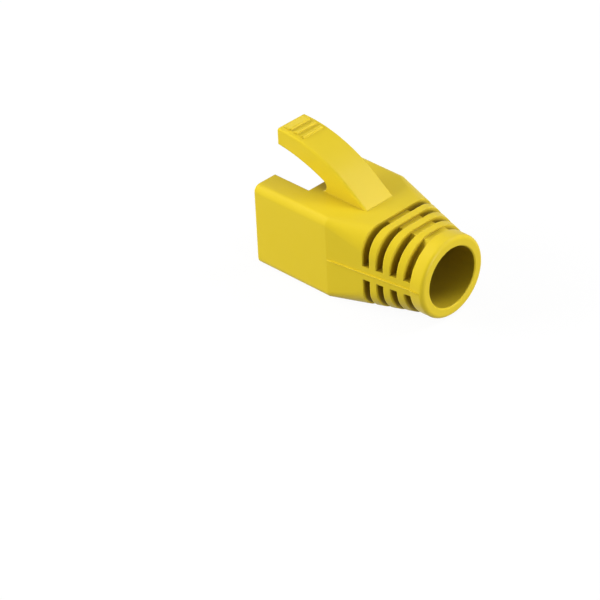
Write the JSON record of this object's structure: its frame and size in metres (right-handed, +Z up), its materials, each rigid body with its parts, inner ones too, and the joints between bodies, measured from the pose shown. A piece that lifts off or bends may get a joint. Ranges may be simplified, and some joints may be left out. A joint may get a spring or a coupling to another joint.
{
  "type": "rj45 strain relief boot",
  "caption": "Soft one-piece boot for an RJ45 plug: box socket with a notched top, arched hollow latch lever, and a grooved sleeve that ends in a round cable bore.",
  "frame": {"origin": "middle of the part's footprint, at the height of the flat bottom it rests on", "axes": "+Z up, out of the top that carries the latch lever; +Y along the bore from the plug socket's mouth to the cable end; +X across"},
  "size_m": [0.0146, 0.0274, 0.0181],
  "materials": {
    "boot": "soft satin moulded plastic, yellow all through"
  },
  "bodies": {
    "root": {"boot": "boot"}
  },
  "joints": []
}
